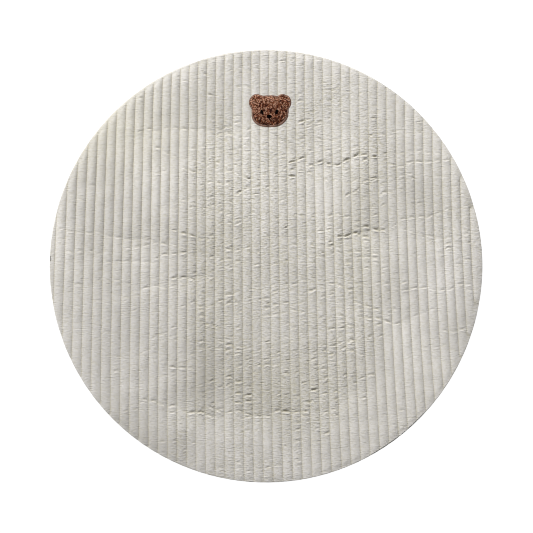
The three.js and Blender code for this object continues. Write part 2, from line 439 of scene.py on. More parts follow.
def cover_height(line, x, y):
    """The height of the top cover, apart from its creases."""
    rib = np.floor(line)
    share = line - rib
    lean = CROWN_LEAN[0] * soft_noise(1, rib + 64, y / CROWN_LEAN[1] + 20)
    share = share + lean * share * (1 - share) * (0.5 - np.abs(share - 0.5))
    arch = 1 - np.abs(2 * share - 1) ** RIB_FULLNESS
    inward = inward_share(x, y)
    stitch = STITCH_HEIGHT * blend(EDGE_STITCH_SHARE, 1, inward)
    change, length = LINE_UNEVENNESS
    stitch = stitch + change * inward * soft_noise(6, line + 64, y / length + 20)
    swell = SWELL * np.sin(x / SWELL_LENGTHS[0] + SWELL_PHASES[0])
    swell = swell * np.sin(y / SWELL_LENGTHS[1] + SWELL_PHASES[1])
    uneven = RIB_UNEVENNESS[0] * soft_noise(2, rib + 64, y / RIB_UNEVENNESS[1] + 20)
    for (change, wide, high), part in ((BROAD_DIP, 20), (LUMPS, 70)):
        uneven = uneven + change * soft_noise(3, x / wide + part, y / high + part)
    uneven = uneven + spots_at(FULLER_SPOTS, x, y)
    rise = (RIB_RISE + swell + uneven) * blend(EDGE_RIB_SHARE, 1, inward)
    free = stitch + rise * arch - inward * fold_depth(x, y)
    pressed = STITCH_HEIGHT + (PRESSED_HEIGHT - STITCH_HEIGHT) * 4 * share * (1 - share)
    loose = ease((past_patch(x, y) - PRESS_MARGIN) / PRESS_FADE)
    return blend(free, np.minimum(free, pressed), 1 - loose)


def wander(line, y):
    """How far the cloth has carried a sewing line sideways: a broad sway and small waves. The sway's
    numbers are millimetres at the rim."""
    u = line_x(line, y) / MAT_RADIUS
    v = y / MAT_RADIUS
    sway = 2.6 * v**4 - 6.8 * u**4 + 20.4 * u**2 * v**2 - 3.8 * u**3 + 6.4 * u * v**2
    return sway + LINE_WANDER[0] * soft_noise(4, line + 64, y / LINE_WANDER[1] + 20)


def pucker_kind(chance):
    """The kind of pucker that a chance from 0 to 1 picks."""
    for share, *kind in PUCKER_KINDS:
        if chance < share:
            return kind
        chance -= share
    return kind


def crease_troughs():
    """Troughs across the ribs: line numbers, their y values, depth, half width, how crisp the fold
    below each is, and over what shares of its length it fades in and out."""
    draw = np.random.default_rng(13)
    troughs = []
    for depth, *places in CREASES:
        heights = places[1::2]
        numbers = [line_at(x, y) for x, y in zip(places[::2], heights)]
        troughs.append((numbers, heights, depth * FOLD_SHARE, FOLD_WIDTH, FOLD_CRISP, FOLD_FADES))
        for rib in range(math.floor(numbers[0]), math.floor(numbers[-1]) + 1):
            low = max(rib + draw.uniform(0.03, 0.28), numbers[0])
            high = min(rib + draw.uniform(0.85, 0.98), numbers[-1])
            if high - low > 0.25:
                lines = [low, (low + high) / 2, high]
                ys = np.interp(lines, numbers, heights) + draw.normal(0, 0.9, 3)
                ys = ys + draw.normal(0, 2.4 / (1 + 0.25 * depth))
                crisp = min(0.3 + 0.22 * depth, CRISPEST)
                steady = min(depth / STEADY_DEPTH, 1)
                share = PINCH_SHARE * (draw.uniform(0.45, 1.25) * (1 - steady) + 1.15 * steady)
                width = draw.uniform(*PINCH_WIDTH)
                troughs.append((lines, list(ys), depth * share, width, crisp, PINCH_FADES))
    for x, y in draw.uniform(-MAT_RADIUS, MAT_RADIUS, (WRINKLES, 2)):
        creased = float(creased_share(x, y))
        if np.hypot(x, y) < TOP_EDGE_RADIUS and draw.random() < creased:
            first = math.floor(line_at(x, y))
            slope = WRINKLE_SLOPE * (1 + 1.5 * float(soft_noise(7, x / 160 + 20, y / 160 + 20)))
            for rib in range(first, first + 1 + int(WRINKLE_RIBS * draw.random() ** 2)):
                low, high, fade = pucker_kind(draw.random())
                low += draw.uniform(-0.05, 0.2)
                high -= draw.uniform(0, 0.08)
                at = y + slope * LINE_PITCH * (rib - first) + draw.normal(0, 1.5)
                slant = slope * LINE_PITCH * (high - low) / 2 + draw.normal(0, 1.6)
                bow = draw.normal(0.6, 1.1)
                lines = [rib + low, rib + (low + high) / 2, rib + high]
                depth = blend(*PUCKER_DEPTH, draw.random() ** 2.6)
                depth *= 0.4 + 0.6 * creased
                width = draw.uniform(*PUCKER_WIDTH)
                ys = [at - slant, at + bow, at + slant]
                troughs.append((lines, ys, depth, width, PUCKER_CRISP, fade))
    return troughs


TROUGHS = crease_troughs()


def troughs_on(line):
    """The troughs that cross a line: their y, depth, half width and crispness there."""
    found = []
    for lines, ys, depth, width, crisp, fade in TROUGHS:
        if lines[0] < line < lines[-1]:
            share = (line - lines[0]) / (lines[-1] - lines[0])
            y = float(np.interp(line, lines, ys))
            faded = ease(min(share / fade[0], (1 - share) / fade[1]))
            uneven = 1 + 0.45 * soft_noise(7, line * 1.6 + 64, y / 30 + 20)
            found.append((y, depth * float(faded * uneven), width, crisp))
    return found


def rows_of(line, troughs):
    """The rows of one column: close ones over each trough and at the edge's slope, wide ones between."""
    low, high = crossings(line, TOP_EDGE_RADIUS)
    wanted = [y + step * width for y, depth, width, crisp in troughs for step in TROUGH_ROWS if depth > 0.1]
    for inward in EDGE_ROWS:
        wanted += crossings(line, TOP_EDGE_RADIUS - inward)
    kept = [low]
    for y in sorted(wanted):
        if y - kept[-1] > CLOSEST_ROWS and high - y > CLOSEST_ROWS:
            kept.append(y)
    kept.append(high)
    rows = [low]
    for start, end in zip(kept, kept[1:]):
        parts = max(1, round((end - start) / ROW_PITCH))
        rows += list(np.linspace(start, end, parts + 1)[1:])
    return np.array(rows)


def column_lines():
    """The line numbers of all columns from left to right, crowded towards the rim in the side ribs."""
    lines = [line + step for line in range(FIRST_LINE, LAST_LINE) for step in RIB_STEPS]
    lines.append(LAST_LINE)
    for line, outward in ((FIRST_LINE, -1), (LAST_LINE, 1)):
        steps = np.arange(0, 1, 0.001)
        room = max(step for step in steps if crossings(line + outward * step, TOP_EDGE_RADIUS))
        for i in range(1, SIDE_COLUMNS):
            lines.append(line + outward * room * (1 - (1 - i / SIDE_COLUMNS) ** 2))
    return sorted(lines)


def joined_columns(left, right, points, upward):
    """Triangles between two columns of point numbers, each in order of y."""
    faces = []
    i = j = 0
    while i < len(left) - 1 or j < len(right) - 1:
        left_next = points[left[i + 1]][1] if i < len(left) - 1 else math.inf
        right_next = points[right[j + 1]][1] if j < len(right) - 1 else math.inf
        if left_next < right_next:
            faces.append((left[i], right[j], left[i + 1]))
            i += 1
        else:
            faces.append((left[i], right[j], right[j + 1]))
            j += 1
    return faces if upward else [face[::-1] for face in faces]


def quilted_cover():
    """The closed cover: points, faces, how much shade is painted at each point, its sewing line,
    and how strongly and where in a stitch's length the cloth is gathered there."""
    points, faces, hollow, sewn, gathers = [], [], [], [], []

    def add(xyz, hollow_share, line=None, gather=(0, 0)):
        points.append(tuple(xyz))
        hollow.append(float(hollow_share))
        sewn.append(-1000 if line is None else line)
        gathers.append(gather)
        return len(points) - 1

    lines = column_lines()
    top = []
    for line in lines:
        troughs = troughs_on(line)
        y = rows_of(line, troughs)
        x = line_x(line, y) + wander(line, y)
        z = cover_height(line, x, y)
        relief = np.zeros_like(y)
        for at, depth, width, crisp in troughs:
            t = (y - at) / width
            dip = np.exp(-((t / np.where(t > 0, UPPER_SIDE, LOWER_SIDE)) ** 2))
            lips = UPPER_LIP[0] * np.exp(-((t - UPPER_LIP[1]) ** 2))
            lips = lips + crisp * np.exp(-((t + LOWER_LIP) ** 2))
            relief += depth * (lips - dip)
        free = ease((past_patch(x, y) - FADE_AT_PATCH[0]) / FADE_AT_PATCH[1]) * inward_share(x, y)
        share = line - math.floor(line)
        z = z + relief * free * (LINE_SHARE + 4 * (1 - LINE_SHARE) * share * (1 - share))
        # Painted shade: darker beside each sewing line and at the bottom of each trough
        beside_line = 1 - 4 * share * (1 - share)
        shade_in_hollows = beside_line**5 + TROUGH_SHADE[0] * np.clip(-relief * free / TROUGH_SHADE[1], 0, 1)
        whole = line if share == 0 else None
        nearest = min(max(round(line), FIRST_LINE), LAST_LINE)
        stitched = (y - crossings(nearest, SEWN_RADIUS)[0]) / STITCH_PITCH
        pull = beside_line**1.5
        top.append([add(p, low, whole, (pull, at)) for *p, low, at in zip(x, y, z, shade_in_hollows, stitched)])
    sides = []
    for column in (top[0], top[-1]):
        low, high = points[column[0]], points[column[-1]]
        middle = [a + b for a, b in zip(low, high)]
        scale = TOP_EDGE_RADIUS / math.hypot(middle[0], middle[1])
        sides.append([add((middle[0] * scale, middle[1] * scale, middle[2] / 2), PLAIN_SHADE)])
    columns = [sides[0], *top, sides[1]]
    for left, right in zip(columns, columns[1:]):
        faces += joined_columns(left, right, points, upward=True)

    # The turned edge, ring by ring, with the seam of the two covers sunk in its middle
    ring = [sides[0][0]] + [c[0] for c in top] + [sides[1][0]] + [c[-1] for c in reversed(top)]
    heights = [points[p][2] for p in ring]
    for inward, share in RIM_RINGS:
        outer = []
        for p, height in zip(ring, heights):
            x, y, z = points[p]
            scale = (MAT_RADIUS - inward) / math.hypot(x, y)
            # Painted shade on the turned edge, as at its top but never less than a little
            low = max(hollow[p] * RIM_SHADE[0], RIM_SHADE[1])
            outer.append(add((x * scale, y * scale, share * height), low))
        for i, p in enumerate(ring):
            after = (i + 1) % len(ring)
            faces.append((p, outer[i], outer[after], ring[after]))
        ring = outer

    # The underside: flat on the floor, with a shallow channel along each sewing line
    count = len(top)
    low_ends = ring[1 : count + 1]
    high_ends = ring[count + 2 :][::-1]
    under = [[ring[0]]]
    for line, low, high in zip(lines, low_ends, high_ends):
        length = points[high][1] - points[low][1]
        parts = max(1, round(length / UNDERSIDE_PITCH))
        y = np.linspace(points[low][1], points[high][1], parts + 1)[1:-1]
        share = line - math.floor(line)
        channel = CHANNEL_DEPTH * math.exp(-((min(share, 1 - share) / CHANNEL_SHARE) ** 2))
        inner = [add((line_x(line, at) + wander(line, at), at, channel), PLAIN_SHADE) for at in y]
        under.append([low, *inner, high])
    under.append([ring[count + 1]])
    for left, right in zip(under, under[1:]):
        faces += joined_columns(left, right, points, upward=False)
    return np.array(points), faces, hollow, np.array(sewn), np.transpose(gathers)


def cloth_object(name, points, faces, **values):
    """A smooth mesh from points in millimetres, with a value of each kind at every point."""
    mesh = bpy.data.meshes.new(name)
    mesh.from_pydata([tuple(p) for p in np.asarray(points) * MM], [], faces)
    mesh.polygons.foreach_set("use_smooth", [True] * len(mesh.polygons))
    for kind, numbers in values.items():
        layer = mesh.attributes.new(kind, "FLOAT", "POINT")
        layer.data.foreach_set("value", np.asarray(numbers, float))
    made = bpy.data.objects.new(name, mesh)
    bpy.context.collection.objects.link(made)
    return made


points, faces, hollow, sewn, (gathered, stitched) = quilted_cover()
x, y, z = points.T
creased = creased_share(x, y)
# Painted shade where creased, painted light and shade at the spots, and painted light on the turned rim
tone = PLAIN_TONE - CREASED_PAINTED_SHADE * creased + spots_at(LIGHT_AND_SHADE_SPOTS, x, y)
painted_light, reach, width = RIM_PAINTED_LIGHT
painted_light = painted_light * ease((np.hypot(x, y) - MAT_RADIUS + reach) / width)
tone = np.maximum(tone / PALEST, np.minimum(tone / PALEST + painted_light, 1 / PALEST))
yellowed = PLAIN_YELLOWED + spots_at(YELLOWED_SPOTS, x, y)
mat = cloth_object(
    "quilted_mat",
    points,
    faces,
    hollow=hollow,
    creased=creased,
    tone=tone,
    yellowed=np.clip(yellowed, 0, 1),
    gathered=gathered,
    stitched=stitched,
)
mat.data.validate()

# The cover turns sharply at each sewing line, where the thread pulls it down to a crease
ends = np.empty(2 * len(mat.data.edges), int)
mat.data.edges.foreach_get("vertices", ends)
first, second = sewn[ends[::2]], sewn[ends[1::2]]
sharp = mat.data.attributes.new("sharp_edge", "BOOLEAN", "EDGE")
sharp.data.foreach_set("value", (first == second) & (first > -1000))


def linear(hex_colour, alpha=1.0):
    """A colour given as sRGB hex, as the shader wants it."""
    channels = [int(hex_colour[i : i + 2], 16) / 255 for i in (1, 3, 5)]
    turned = [c / 12.92 if c <= 0.04045 else ((c + 0.055) / 1.055) ** 2.4 for c in channels]
    return (*turned, alpha)


def add_node(tree, kind, sockets=None, **settings):
    """A shader node with its settings. Each socket named gets a plain value, or a link from another
    node's socket, or from a node's first output."""
    made = tree.nodes.new("ShaderNode" + kind)
    for name, value in settings.items():
        setattr(made, name, value)
    for socket, value in (sockets or {}).items():
        source = value.outputs[0] if isinstance(value, bpy.types.Node) else value
        if isinstance(source, bpy.types.NodeSocket):
            tree.links.new(source, made.inputs[socket])
        else:
            made.inputs[socket].default_value = source
    return made


def new_material(name):
    """A material with an empty tree, add_node() for that tree, and the Object coordinates in it."""
    material = bpy.data.materials.new(name)
    material.use_nodes = True
    material.node_tree.nodes.clear()
    node = partial(add_node, material.node_tree)
    return material, node, node("TexCoord").outputs["Object"]


# Washed plain-weave cotton, unbleached: matt and soft, with fine crosswise crinkles from washing, and
# painted shade, darker and a little olive, in its hollows and crease bottoms. Real threads are 0.4 mm
# apart; the weave is drawn at 1.1 mm, since nothing finer would show.
COTTON = "#AEACA9"
COTTON_PALE = "#E6E4E2"
COTTON_SHADE = "#ACA68A"
YELLOWING = "#FFFEEE"
WEAVE_PITCH = 1.1 * MM
WAVE_PERIOD_AT_SCALE_1 = 0.314
CRINKLES_PER_METRE = (95, 240, 20)
LEAST_CRINKLED = 0.46
MOST_CRINKLED = 0.9
CRINKLE_HEIGHT = 3.25 * MM
MOTTLING = 0.096
HOLLOW_SHADE = 0.42
CRINKLE_SHADE = 0.55
cotton, node, place = new_material("washed_cotton")
here = {}
for kind in ("hollow", "creased", "tone", "yellowed", "gathered", "stitched"):
    here[kind] = node("Attribute", attribute_name=kind).outputs["Fac"]
flat = node("Mapping", {"Vector": place, "Scale": (1, 1, 0.2)})
broad = node("TexNoise", {"Vector": flat, "Scale": 7, "Detail": 3, "Roughness": 0.55})
stretched = node("Mapping", {"Vector": place, "Scale": CRINKLES_PER_METRE})
uneven = {"Scale": 1, "Detail": 3, "Roughness": 0.62, "Distortion": 0.5}
crinkle = node("TexNoise", {"Vector": stretched, **uneven})
ripple = {"Distortion": 1.2, "Detail": 1, "Detail Scale": 0.6}
threads = {"Vector": place, "Scale": WAVE_PERIOD_AT_SCALE_1 / WEAVE_PITCH, **ripple}
warp = node("TexWave", threads, bands_direction="X").outputs["Fac"]
weft = node("TexWave", threads, bands_direction="Y").outputs["Fac"]
weave = node("Math", {0: warp, 1: weft}, operation="MULTIPLY")
by_place = {0: here["creased"], 1: MOST_CRINKLED - LEAST_CRINKLED, 2: LEAST_CRINKLED}
crinkled = node("Math", by_place, operation="MULTIPLY_ADD")
folded = node("Math", {0: crinkle, 1: crinkled}, operation="MULTIPLY")
mottled = node("MapRange", {0: broad, 1: 0.3, 2: 0.7, 3: -MOTTLING, 4: MOTTLING})
spread = node("Math", {0: here["tone"], 1: mottled}, operation="ADD", use_clamp=True)
# Between dark and pale cotton by the tone, with its painted light and shade, and a random mottling
tone_with_painted_light = {0: spread, 6: linear(COTTON), 7: linear(COTTON_PALE)}
ground = node("Mix", tone_with_painted_light, data_type="RGBA").outputs[2]
# Painted shade: beside the sewing lines, in the troughs and on the rim the cloth is mixed towards an olive
# shade
shade = node("Math", {0: here["hollow"], 1: HOLLOW_SHADE}, operation="MULTIPLY")
# Painted shade in the low parts of the crinkles, the more where the cloth is creased
between = node("MapRange", {0: crinkle, 1: 0.36, 2: 0.56, 3: CRINKLE_SHADE, 4: 0})
crinkle_shade = node("Math", {0: between, 1: crinkled}, operation="MULTIPLY")
shade_olive = linear(COTTON_SHADE)
with_painted_shade = node("Mix", {0: shade, 6: ground, 7: shade_olive}, data_type="RGBA").outputs[2]
shaded = node("Mix", {0: crinkle_shade, 6: with_painted_shade, 7: shade_olive}, data_type="RGBA").outputs[2]
by_age = {0: here["yellowed"], 6: shaded, 7: linear(YELLOWING)}
aged = node("Mix", by_age, data_type="RGBA", blend_type="MULTIPLY").outputs[2]
weave_bump = node("Bump", {"Strength": 0.5, "Distance": 0.12 * MM, "Height": weave})
turns = node("Math", {0: here["stitched"], 1: 2 * math.pi}, operation="MULTIPLY")
holes = node("Math", {0: turns}, operation="COSINE")
between_holes = node("Math", {0: holes, 1: here["gathered"]}, operation="MULTIPLY")
relief = {"Strength": 1, "Distance": 0.11 * MM, "Height": between_holes, "Normal": weave_bump}
stitch_bump = node("Bump", relief, invert=True)
relief = {"Strength": 1, "Distance": CRINKLE_HEIGHT, "Height": folded, "Normal": stitch_bump}
crinkle_bump = node("Bump", relief)
roughness = node("MapRange", {0: crinkle, 3: 0.86, 4: 0.97})
gloss = {"IOR": 1.47, "Specular IOR Level": 0.25, "Sheen Weight": 0.12, "Sheen Roughness": 0.5}
shown = {"Base Color": aged, "Roughness": roughness, "Normal": crinkle_bump}
surface = node("BsdfPrincipled", {**shown, **gloss})
node("OutputMaterial", {"Surface": surface})
mat.data.materials.append(cotton)
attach(mat, "root")
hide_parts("mat")

# The quilting stitches. Each sewing line is a row of lockstitches in white cotton-wrapped thread,
# 0.6 mm thick, with a needle hole every 6 mm where the thread dips through the cloth.
STITCH_LENGTH = 5.6
STITCH_THICKNESS = 0.62
STITCH_LIFT = 0.12
STITCH_DIP = 0.35


def lay_copies(name, shape, places, tones):
    """One piece from many copies of a shape. A place is three scaled axes and an origin."""
    corners = np.array([v.co for v in shape.data.vertices])
    shape_faces = [tuple(f.vertices) for f in shape.data.polygons]
    places = np.asarray(places, float)
    points = np.einsum("pk,nkj->npj", corners, places[:, :3]) + places[:, None, 3]
    step = len(corners)
    faces = [tuple(i + n * step for i in f) for n in range(len(places)) for f in shape_faces]
    made = cloth_object(name, points.reshape(-1, 3), faces, tone=np.repeat(tones, step))
    bpy.data.objects.remove(shape)
    return made


bpy.ops.mesh.primitive_cylinder_add(
    vertices=4,
    radius=0.5,
    depth=0.6,
    end_fill_type="TRIFAN",
    rotation=(math.pi / 2, math.pi / 4, 0),
)
bpy.ops.object.transform_apply(rotation=True)
one_stitch = bpy.context.object
for corner in one_stitch.data.vertices:
    if math.hypot(corner.co.x, corner.co.z) < 0.01:
        corner.co = (0, math.copysign(0.5, corner.co.y), -STITCH_DIP)

places = []
for line in range(FIRST_LINE, LAST_LINE + 1):
    low, high = crossings(line, SEWN_RADIUS)
    y = np.arange(low + STITCH_PITCH / 2, high, STITCH_PITCH)
    ends = []
    for at in (y - STITCH_LENGTH / 2, y + STITCH_LENGTH / 2):
        x = line_x(line, at) + wander(line, at)
        ends.append(np.stack([x, at, cover_height(float(line), x, at)], axis=1))
    run = ends[1] - ends[0]
    middle = (ends[0] + ends[1]) / 2 + (0, 0, STITCH_LIFT)
    across = np.tile((STITCH_THICKNESS, 0, 0), (len(y), 1))
    up = np.tile((0, 0, STITCH_THICKNESS), (len(y), 1))
    places.append(np.stack([across, run, up, middle], axis=1))
places = np.concatenate(places)
tones = np.random.default_rng(17).random(len(places))
stitches = lay_copies("quilting_stitches", one_stitch, places, tones)

# Cotton-wrapped polyester sewing thread: paler than the cloth, with the faint gloss of a twisted yarn.
# Its twist is drawn at 0.9 mm, a few times coarser than real.
THREAD = "#E9E5DA"
THREAD_SHADE = "#CFCABB"
TWIST_PITCH = 0.9 * MM
sewing_thread, node, place = new_material("cotton_wrapped_thread")
turned = node("Mapping", {"Vector": place, "Rotation": (0, 0, math.radians(35))})
strands = {"Scale": WAVE_PERIOD_AT_SCALE_1 / TWIST_PITCH, "Distortion": 0.5}
twist = node("TexWave", {"Vector": turned, **strands}).outputs["Fac"]
tone = node("Attribute", attribute_name="tone").outputs["Fac"]
shades = {0: tone, 6: linear(THREAD_SHADE), 7: linear(THREAD)}
colour = node("Mix", shades, data_type="RGBA").outputs[2]
bump = node("Bump", {"Strength": 0.6, "Distance": 0.1 * MM, "Height": twist})
gloss = {"Roughness": 0.62, "IOR": 1.53, "Sheen Weight": 0.1}
surface = node("BsdfPrincipled", {"Base Color": colour, "Normal": bump, **gloss})
node("OutputMaterial", {"Surface": surface})
stitches.data.materials.append(sewing_thread)
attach(stitches, "root")

# The bear patch's ground cloth. A knitted brown backing is cut as a head with two round ears, padded
# by its own pile, and sewn down to the cover all round, so that its edge follows the ribs.
PATCH_UNDERSIDE = 8.7
PATCH_CROWN = 10.9
PATCH_DOMING = 0.9
PATCH_EDGE_THICKNESS = 1.0
PATCH_LIFT = 0.12
SEWN_DOWN_FROM = 0.8
OUTLINE_STEPS = 200
PATCH_RINGS = [0.12, 0.26, 0.4, 0.53, 0.65, 0.75, 0.83, 0.89, 0.94, 0.975, 1]

# How far the sewn border reaches in over the pile and out over the cover: all round, and what is
# added near a place on the outline. Such a place and its spread are in degrees.
LEFT_CHEEK = 217
RIGHT_CHEEK = -38
CHIN = -90
BORDER_INSIDE = (2.5, [(1.8, RIGHT_CHEEK, 22), (0.3, CHIN, 30), (-1.5, LEFT_CHEEK, 24)])
BORDER_OUTSIDE = (1.0, [(2.5, LEFT_CHEEK, 24), (0.8, CHIN, 40)])


def near_place(angle, degrees, spread):
    """How close an angle on the patch is to a place on its outline, from 0 to 1."""
    off = (np.degrees(angle) - degrees + 180) % 360 - 180
    return np.exp(-((off / spread) ** 2))


def border_reach(border, angle):
    """How far the sewn border reaches to one side of the patch's outline."""
    reach, changes = border
    for change, degrees, spread in changes:
        reach = reach + change * near_place(angle, degrees, spread)
    return reach


def outline_reach(angle):
    """The patch's outline with its notches eased, as sewn cloth has them."""
    steps = np.radians([-3.2, -1.6, 0, 1.6, 3.2])
    return np.mean([head_reach(angle + step) for step in steps], axis=0)


def outline_points(angle):
    """The outline's points at some angles, from the head's middle."""
    reach = outline_reach(angle)
    return np.stack([reach * np.cos(angle), reach * np.sin(angle)], axis=1)


def cover_below(x, y):
    """The height of the cover under a point near the patch."""
    numbers = np.linspace(-6, 6, 601)
    lines = [np.interp(px, line_x(numbers, py), numbers) for px, py in zip(x, y)]
    return cover_height(np.array(lines), x, y)


def patch_surface(angle, share, upper):
    """A point on the patch's upper or lower face, at a share of the way to its outline."""
    reach = outline_reach(angle) * share
    x = PATCH_X + reach * np.cos(angle)
    y = PATCH_Y + reach * np.sin(angle)
    sewn_down = ease((share - SEWN_DOWN_FROM) / (1 - SEWN_DOWN_FROM)) * np.ones_like(x)
    cover = cover_below(x, y) + PATCH_LIFT
    if upper:
        crown = PATCH_CROWN - PATCH_DOMING * share**3
        z = blend(crown, cover + PATCH_EDGE_THICKNESS, sewn_down)
    else:
        z = blend(PATCH_UNDERSIDE, cover, sewn_down)
    return np.stack([x, y, z], axis=1)


angles = np.linspace(0, 2 * np.pi, OUTLINE_STEPS, endpoint=False)
centre = [[PATCH_X, PATCH_Y, PATCH_CROWN]]
rings = [patch_surface(angles, share, True) for share in PATCH_RINGS]
rings += [patch_surface(angles, share, False) for share in reversed(PATCH_RINGS)]
points = np.concatenate([centre, *rings, [[PATCH_X, PATCH_Y, PATCH_UNDERSIDE]]])
faces = []
for i in range(OUTLINE_STEPS):
    after = (i + 1) % OUTLINE_STEPS
    faces.append((0, 1 + i, 1 + after))
    for ring in range(len(rings) - 1):
        upper = 1 + ring * OUTLINE_STEPS
        lower = upper + OUTLINE_STEPS
        faces.append((upper + i, lower + i, lower + after, upper + after))
    last = 1 + (len(rings) - 1) * OUTLINE_STEPS
    faces.append((len(points) - 1, last + after, last + i))
patch = cloth_object("bear_patch_cloth", points, faces)

# Brown acrylic knit under the pile, mostly in shade: matt and pitted at 1.4 mm by its stitches. Its
# colour is painted shade: near black, and darkest in the pits between its stitches.
GROUND_BROWN_SHADED = "#1E0C06"
GROUND_BROWN_LIT = "#4A2717"
KNIT_PITCH = 1.4 * MM
knit, node, place = new_material("acrylic_knit_ground")
loops = node("TexVoronoi", {"Vector": place, "Scale": 1 / KNIT_PITCH})
shades = {0: loops, 6: linear(GROUND_BROWN_LIT), 7: linear(GROUND_BROWN_SHADED)}
colour = node("Mix", shades, data_type="RGBA").outputs[2]
bump = node("Bump", {"Strength": 0.8, "Distance": 0.5 * MM, "Height": loops}, invert=True)
gloss = {"Roughness": 0.95, "IOR": 1.49, "Specular IOR Level": 0.15, "Sheen Weight": 0.03}
surface = node("BsdfPrincipled", {"Base Color": colour, "Normal": bump, **gloss})
node("OutputMaterial", {"Surface": surface})
patch.data.materials.append(knit)
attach(patch, "root")
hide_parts("bear_patch")

# The patch's pile. Curled loops of soft brown yarn, 3 to 5 mm across, stand close together on the
# ground cloth and lean every way. None stands where the eyes and nose are embroidered.
LOOP_PITCH = 2.5
LOOP_SCATTER = 0.42
LOOP_RADIUS = (1.0, 1.75)
LOOP_HEIGHT = (0.8, 1.25)
LOOP_LEAN = 0.95
LOOP_YARN = 0.36
LOOP_THICKENED = 1.15
LOOP_SUNK = 0.25
FACE_MARGIN = 0.9

# How far the pile stays back under the border, and in the dark channels at the chin and the cheeks
PILE_UNDER_BORDER = 0.6
CHIN_CHANNEL = 1.7
CHEEK_CHANNEL = 1.5

# The pile's tone: its patches' strength and size, and each loop's own difference
PILE_TONE = 0.54
PILE_PATCHES = (0.95, 3)
PILE_VARIETY = 0.28
# Painted light and shade: paler upwards and darker to the right, as the lamp at the upper left falls, and
# painted highlights on the forehead and in a ring round the eyes and the nose
PAINTED_LIGHT_UPWARDS = 0.2
PAINTED_SHADE_RIGHTWARDS = 0.07
PAINTED_LIGHT_FOREHEAD = 0.28
PAINTED_LIGHT_AT_FACE = 0.3

# The eyes and the nose, a little lower on the head than the CAD's ovals
FACE_X = PATCH_X - 2.5
EYE_X = 20.4
EYE_Y = -3.4
EYE_HALF = (4.0, 6.6)
EYE_TILT = math.radians(13)
NOSE_Y = -15.4
NOSE_HALF = (6.6, 5.0)


def yarn_arch(segments, thickness):
    """Half a ring of yarn, 2 wide and 1 high, standing on its two closed ends along X."""
    bpy.ops.mesh.primitive_torus_add(
        major_segments=2 * segments,
        minor_segments=5,
        major_radius=1,
        minor_radius=thickness,
        rotation=(math.pi / 2, 0, 0),
    )
    bpy.ops.object.transform_apply(rotation=True)
    bpy.ops.object.mode_set(mode="EDIT")
    bpy.ops.mesh.select_all(action="SELECT")
    bpy.ops.mesh.bisect(plane_co=(0, 0, 0), plane_no=(0, 0, 1), use_fill=True, clear_inner=True)
    bpy.ops.mesh.select_all(action="SELECT")
    bpy.ops.mesh.normals_make_consistent(inside=False)
    bpy.ops.object.mode_set(mode="OBJECT")
    return bpy.context.object


def oval_share(x, y, centre, half, tilt):
    """How far out a point is in an oval, 1 on its outline."""
    dx = x - centre[0]
    dy = y - centre[1]
    across = dx * math.cos(tilt) + dy * math.sin(tilt)
    along = -dx * math.sin(tilt) + dy * math.cos(tilt)
    return np.hypot(across / half[0], along / half[1])


OVALS = [
    ("bear_eye_left", (FACE_X - EYE_X, PATCH_Y + EYE_Y), EYE_HALF, EYE_TILT),
    ("bear_eye_right", (FACE_X + EYE_X, PATCH_Y + EYE_Y), EYE_HALF, -EYE_TILT),
    ("bear_nose", (FACE_X, PATCH_Y + NOSE_Y), NOSE_HALF, 0),
]

draw = np.random.default_rng(19)
reach = HEAD_HALF_WIDTH + EAR_RADIUS
grid = np.arange(-reach, reach, LOOP_PITCH)
sides = [side.ravel() for side in np.meshgrid(grid, grid)]
dx, dy = [side + draw.uniform(-LOOP_SCATTER, LOOP_SCATTER, len(side)) * LOOP_PITCH for side in sides]
angle = np.arctan2(dy, dx)
share = np.hypot(dx, dy) / outline_reach(angle)
inset = border_reach(BORDER_INSIDE, angle) - PILE_UNDER_BORDER * (1 + np.sin(angle))
inset += CHIN_CHANNEL * ease(0.3 - 2 * np.sin(angle))
inset += CHEEK_CHANNEL * (near_place(angle, LEFT_CHEEK, 24) + near_place(angle, RIGHT_CHEEK, 22))
inside = np.hypot(dx, dy) < outline_reach(angle) - inset
for name, middle, half, tilt in OVALS:
    wider = (half[0] + FACE_MARGIN, half[1] + FACE_MARGIN)
    inside &= oval_share(PATCH_X + dx, PATCH_Y + dy, middle, wider, tilt) > 1
roots = patch_surface(angle[inside], share[inside], True)
count = len(roots)
spin = draw.uniform(0, 2 * np.pi, count)
lean = draw.uniform(-LOOP_LEAN, LOOP_LEAN, count)
size = draw.uniform(*LOOP_RADIUS, count)
tall = size * draw.uniform(*LOOP_HEIGHT, count)
level = np.stack([np.cos(spin), np.sin(spin), np.zeros(count)], axis=1)
beside = np.stack([-np.sin(spin), np.cos(spin), np.zeros(count)], axis=1)
up = beside * np.sin(lean)[:, None] + np.array([0, 0, 1]) * np.cos(lean)[:, None]
thick = np.cross(up, level)
feet = roots - up * LOOP_SUNK
places = np.stack([level * size[:, None], thick * LOOP_THICKENED, up * tall[:, None], feet], axis=1)
one_loop = yarn_arch(6, LOOP_YARN)
x, y, z = roots.T
right, above = x - PATCH_X, y - PATCH_Y
change, wide = PILE_PATCHES
shade = PILE_TONE + change * soft_noise(5, x / wide, y / wide)
shade += draw.uniform(-PILE_VARIETY, PILE_VARIETY, count)
# Painted light and shade from the lamp at the upper left, and painted highlights round the face
shade += (PAINTED_LIGHT_UPWARDS * above - PAINTED_SHADE_RIGHTWARDS * right) / HEAD_HALF_HEIGHT
shade += PAINTED_LIGHT_FOREHEAD * ease((above - 22) / 12) * ease((32 - np.abs(right)) / 10)
for name, middle, half, tilt in OVALS:
    past = oval_share(x, y, middle, half, tilt) - 1
    shade += PAINTED_LIGHT_AT_FACE * np.exp(-((past / 0.7) ** 2))
pile = lay_copies("bear_pile_loops", one_loop, places, np.clip(shade, 0, 1))

